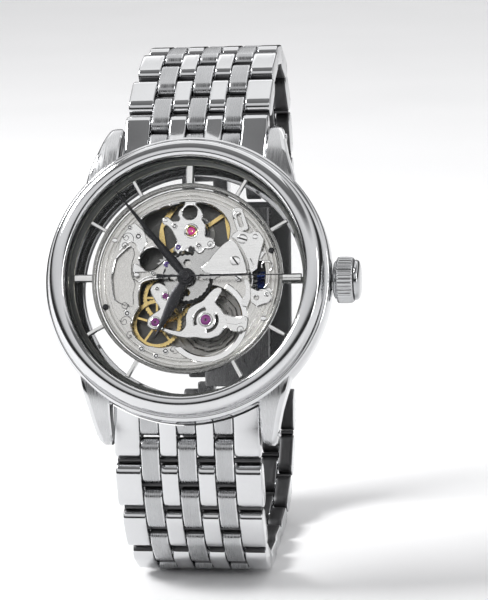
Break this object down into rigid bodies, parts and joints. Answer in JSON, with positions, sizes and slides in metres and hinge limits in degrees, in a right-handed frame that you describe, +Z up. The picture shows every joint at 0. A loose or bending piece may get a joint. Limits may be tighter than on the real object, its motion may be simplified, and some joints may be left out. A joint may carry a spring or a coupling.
{
  "type": "skeleton wristwatch",
  "caption": "Round mechanical skeleton wristwatch with see-through movement, sapphire crystals, fluted crown and a multi-column steel bracelet closed by a folding clasp.",
  "frame": {"origin": "middle of the flat underside of the bracelet link that the watch rests on, under the centre line", "axes": "+X towards 3 o'clock (the crown side), +Y away from the dial into the loop, +Z up; the dial leans back 22 degrees"},
  "size_m": [0.0444, 0.0582, 0.0742],
  "materials": {
    "polished_steel": "polished stainless steel",
    "satin_steel": "satin stainless steel, brushed lengthwise",
    "rhodium": "rhodium-plated brass, finely brushed, bevelled edges polished",
    "gilt_brass": "gilt brass",
    "dark_flange": "dark grey-green lacquer",
    "dark_hands": "charcoal galvanic finish",
    "blued_steel": "blued steel",
    "spring_steel": "hardened spring steel",
    "sapphire": "clear sapphire crystal",
    "ruby": "synthetic ruby in a gilt setting",
    "gasket_rubber": "black O-ring rubber"
  },
  "bodies": {
    "case": {"mid_case": "polished_steel", "bezel": "polished_steel", "crystal": "sapphire", "flange_ring": "dark_flange", "clear_dial": "sapphire", "case_back": "polished_steel", "case_back_crystal": "sapphire", "hour_marker_ring": "polished_steel", "main_plate": "rhodium", "balance_bridge": "rhodium", "barrel_bridge": "rhodium", "keyless_cover": "rhodium", "rear_bridge": "rhodium", "balance_cock": "rhodium", "shock_setting": "ruby", "crown_tube": "satin_steel", "end_link_12": "satin_steel", "end_link_6": "satin_steel", "hairspring": "spring_steel"},
    "seconds": {"seconds_hand": "dark_hands", "fourth_wheel": "gilt_brass"},
    "minutes": {"minute_hand": "dark_hands", "cannon_pinion": "satin_steel"},
    "hours": {"hour_hand": "dark_hands", "hour_wheel": "rhodium"},
    "minute_wheel": {"minute_wheel": "rhodium"},
    "third_wheel": {"third_wheel": "gilt_brass"},
    "centre_wheel": {"centre_wheel": "gilt_brass"},
    "escape_wheel": {"escape_wheel": "satin_steel"},
    "barrel": {"barrel": "gilt_brass", "mainspring": "spring_steel"},
    "balance": {"balance_wheel": "gilt_brass"},
    "pallet_fork": {"pallet_fork": "satin_steel"},
    "rotor": {"rotor": "satin_steel"},
    "crown_slide": {"crown_gasket": "gasket_rubber"},
    "crown": {"crown": "polished_steel", "winding_stem": "satin_steel"},
    "clutch": {"clutch_wheel": "blued_steel"},
    "setting_lever": {"setting_lever": "rhodium"},
    "yoke": {"yoke": "rhodium"},
    "ratchet_wheel": {"ratchet_wheel": "satin_steel"},
    "lower_link_1": {"lower_link_1": "polished_steel"},
    "lower_link_2": {"lower_link_2": "polished_steel"},
    "lower_link_3": {"lower_link_3": "polished_steel"},
    "lower_link_4": {"lower_link_4": "polished_steel"},
    "lower_link_5": {"lower_link_5": "polished_steel"},
    "lower_link_6": {"lower_link_6": "polished_steel"},
    "lower_link_7": {"lower_link_7": "polished_steel"},
    "lower_link_8": {"lower_link_8": "polished_steel"},
    "lower_link_9": {"lower_link_9": "polished_steel"},
    "upper_link_1": {"upper_link_1": "polished_steel"},
    "upper_link_2": {"upper_link_2": "polished_steel"},
    "upper_link_3": {"upper_link_3": "polished_steel"},
    "upper_link_4": {"upper_link_4": "polished_steel"},
    "upper_link_5": {"upper_link_5": "polished_steel"},
    "upper_link_6": {"upper_link_6": "polished_steel"},
    "upper_link_7": {"upper_link_7": "polished_steel"},
    "clasp_inner": {"clasp_blade_inner": "polished_steel"},
    "clasp_outer": {"clasp_blade_outer": "polished_steel"},
    "clasp_lid": {"clasp_cover": "satin_steel"}
  },
  "joints": [
    {"name": "seconds_spin", "type": "hinge", "parent": "case", "child": "seconds", "pos_m": [0, -0.01382, 0.04481], "axis": [0, 0.9272, -0.3746], "continuous": true},
    {"name": "minute_spin", "type": "hinge", "parent": "case", "child": "minutes", "pos_m": [0, -0.01382, 0.04481], "axis": [0, 0.9272, -0.3746], "continuous": true},
    {"name": "hour_spin", "type": "hinge", "parent": "case", "child": "hours", "pos_m": [0, -0.01382, 0.04481], "axis": [0, 0.9272, -0.3746], "continuous": true},
    {"name": "minute_wheel_spin", "type": "hinge", "parent": "case", "child": "minute_wheel", "pos_m": [0.003, -0.01296, 0.04694], "axis": [0, 0.9272, -0.3746], "continuous": true},
    {"name": "third_wheel_spin", "type": "hinge", "parent": "case", "child": "third_wheel", "pos_m": [-0.0031, -0.01268, 0.04176], "axis": [0, 0.9272, -0.3746], "continuous": true},
    {"name": "centre_wheel_spin", "type": "hinge", "parent": "case", "child": "centre_wheel", "pos_m": [-0.0044, -0.01434, 0.03844], "axis": [0, 0.9272, -0.3746], "continuous": true},
    {"name": "escape_wheel_spin", "type": "hinge", "parent": "case", "child": "escape_wheel", "pos_m": [-0.0031, -0.01066, 0.04569], "axis": [0, 0.9272, -0.3746], "continuous": true},
    {"name": "barrel_spin", "type": "hinge", "parent": "case", "child": "barrel", "pos_m": [0.0028, -0.01325, 0.03822], "axis": [0, 0.9272, -0.3746], "continuous": true},
    {"name": "balance_swing", "type": "hinge", "parent": "case", "child": "balance", "pos_m": [0.0005, -0.00895, 0.05018], "axis": [0, 0.9272, -0.3746], "range_deg": [-150, 150], "stiffness_Nm_per_rad": 0.00000032},
    {"name": "pallet_swing", "type": "hinge", "parent": "case", "child": "pallet_fork", "pos_m": [-0.0014, -0.00972, 0.04801], "axis": [0, 0.9272, -0.3746], "range_deg": [-6, 6]},
    {"name": "rotor_spin", "type": "hinge", "parent": "case", "child": "rotor", "pos_m": [0, -0.00946, 0.04305], "axis": [0, 0.9272, -0.3746], "continuous": true},
    {"name": "crown_pull", "type": "slide", "parent": "case", "child": "crown_slide", "axis": [1, 0, 0], "range_m": [0, 0.001]},
    {"name": "crown_turn", "type": "hinge", "parent": "crown_slide", "child": "crown", "pos_m": [0.0204, -0.01187, 0.04402], "axis": [1, 0, 0], "continuous": true},
    {"name": "clutch_slide", "type": "slide", "parent": "case", "child": "clutch", "axis": [-1, 0, 0], "range_m": [0, 0.0003]},
    {"name": "setting_lever_swing", "type": "hinge", "parent": "case", "child": "setting_lever", "pos_m": [0.0089, -0.01247, 0.04761], "axis": [0, 0.9272, -0.3746], "range_deg": [0, 20]},
    {"name": "yoke_swing", "type": "hinge", "parent": "case", "child": "yoke", "pos_m": [0.0083, -0.01535, 0.04155], "axis": [0, -0.9272, 0.3746], "range_deg": [0, 8]},
    {"name": "ratchet_spin", "type": "hinge", "parent": "case", "child": "ratchet_wheel", "pos_m": [0.0028, -0.01232, 0.03784], "axis": [0, 0.9272, -0.3746], "continuous": true},
    {"name": "lower_hinge_1", "type": "hinge", "parent": "case", "child": "lower_link_1", "pos_m": [0, -0.01812, 0.02163], "axis": [-1, 0, 0], "range_deg": [0, 25]},
    {"name": "lower_hinge_2", "type": "hinge", "parent": "lower_link_1", "child": "lower_link_2", "pos_m": [0, -0.01728, 0.01429], "axis": [-1, 0, 0], "range_deg": [0, 9]},
    {"name": "lower_hinge_3", "type": "hinge", "parent": "lower_link_2", "child": "lower_link_3", "pos_m": [0, -0.0144, 0.0075], "axis": [-1, 0, 0], "range_deg": [0, 11]},
    {"name": "lower_hinge_4", "type": "hinge", "parent": "lower_link_3", "child": "lower_link_4", "pos_m": [0, -0.00912, 0.00241], "axis": [-1, 0, 0], "range_deg": [0, 21]},
    {"name": "lower_hinge_5", "type": "hinge", "parent": "lower_link_4", "child": "lower_link_5", "pos_m": [0, -0.00185, 0.00145], "axis": [-1, 0, 0], "range_deg": [0, 6]},
    {"name": "lower_hinge_6", "type": "hinge", "parent": "lower_link_5", "child": "lower_link_6", "pos_m": [0, 0.00555, 0.00145], "axis": [-1, 0, 0], "range_deg": [0, 6]},
    {"name": "lower_hinge_7", "type": "hinge", "parent": "lower_link_6", "child": "lower_link_7", "pos_m": [0, 0.01291, 0.00196], "axis": [-1, 0, 0], "range_deg": [0, 10]},
    {"name": "lower_hinge_8", "type": "hinge", "parent": "lower_link_7", "child": "lower_link_8", "pos_m": [0, 0.01967, 0.0049], "axis": [-1, 0, 0], "range_deg": [0, 12]},
    {"name": "lower_hinge_9", "type": "hinge", "parent": "lower_link_8", "child": "lower_link_9", "pos_m": [0, 0.02464, 0.01032], "axis": [-1, 0, 0], "range_deg": [0, 13]},
    {"name": "upper_hinge_1", "type": "hinge", "parent": "case", "child": "upper_link_1", "pos_m": [0, -0.00081, 0.06447], "axis": [1, 0, 0], "range_deg": [0, 30]},
    {"name": "upper_hinge_2", "type": "hinge", "parent": "upper_link_1", "child": "upper_link_2", "pos_m": [0, 0.00514, 0.06887], "axis": [1, 0, 0], "range_deg": [0, 6]},
    {"name": "upper_hinge_3", "type": "hinge", "parent": "upper_link_2", "child": "upper_link_3", "pos_m": [0, 0.01177, 0.0721], "axis": [1, 0, 0], "range_deg": [0, 12]},
    {"name": "upper_hinge_4", "type": "hinge", "parent": "upper_link_3", "child": "upper_link_4", "pos_m": [0, 0.01911, 0.07255], "axis": [1, 0, 0], "range_deg": [0, 13]},
    {"name": "upper_hinge_5", "type": "hinge", "parent": "upper_link_4", "child": "upper_link_5", "pos_m": [0, 0.0259, 0.06974], "axis": [1, 0, 0], "range_deg": [0, 13]},
    {"name": "upper_hinge_6", "type": "hinge", "parent": "upper_link_5", "child": "upper_link_6", "pos_m": [0, 0.03078, 0.06423], "axis": [1, 0, 0], "range_deg": [0, 12]},
    {"name": "upper_hinge_7", "type": "hinge", "parent": "upper_link_6", "child": "upper_link_7", "pos_m": [0, 0.03299, 0.05721], "axis": [1, 0, 0], "range_deg": [0, 9]},
    {"name": "clasp_hinge", "type": "hinge", "parent": "lower_link_9", "child": "clasp_inner", "pos_m": [0, 0.02685, 0.01735], "axis": [-1, 0, 0], "range_deg": [0, 20]},
    {"name": "clasp_unfold", "type": "hinge", "parent": "clasp_inner", "child": "clasp_outer", "pos_m": [0, 0.03206, 0.04653], "axis": [1, 0, 0], "range_deg": [0, 85]},
    {"name": "clasp_cover_open", "type": "hinge", "parent": "clasp_outer", "child": "clasp_lid", "pos_m": [0, 0.02741, 0.02172], "axis": [-1, 0, 0], "range_deg": [0, 85]}
  ],
  "couplings": [
    {"joint": "minute_spin", "follows": "seconds_spin", "ratio": 0.016667},
    {"joint": "hour_spin", "follows": "seconds_spin", "ratio": 0.0013889},
    {"joint": "minute_wheel_spin", "follows": "seconds_spin", "ratio": -0.0083333},
    {"joint": "third_wheel_spin", "follows": "seconds_spin", "ratio": -0.125},
    {"joint": "centre_wheel_spin", "follows": "seconds_spin", "ratio": 0.016667},
    {"joint": "escape_wheel_spin", "follows": "seconds_spin", "ratio": -10},
    {"joint": "barrel_spin", "follows": "seconds_spin", "ratio": -0.0027778},
    {"joint": "pallet_swing", "follows": "balance_swing", "ratio": -0.04},
    {"joint": "clutch_slide", "follows": "crown_pull", "ratio": 0.3},
    {"joint": "setting_lever_swing", "follows": "crown_pull", "rad_per_m": 340},
    {"joint": "yoke_swing", "follows": "crown_pull", "rad_per_m": 135},
    {"joint": "ratchet_spin", "follows": "crown_turn", "ratio": 0.4},
    {"joint": "clasp_cover_open", "follows": "clasp_unfold", "ratio": 1}
  ]
}
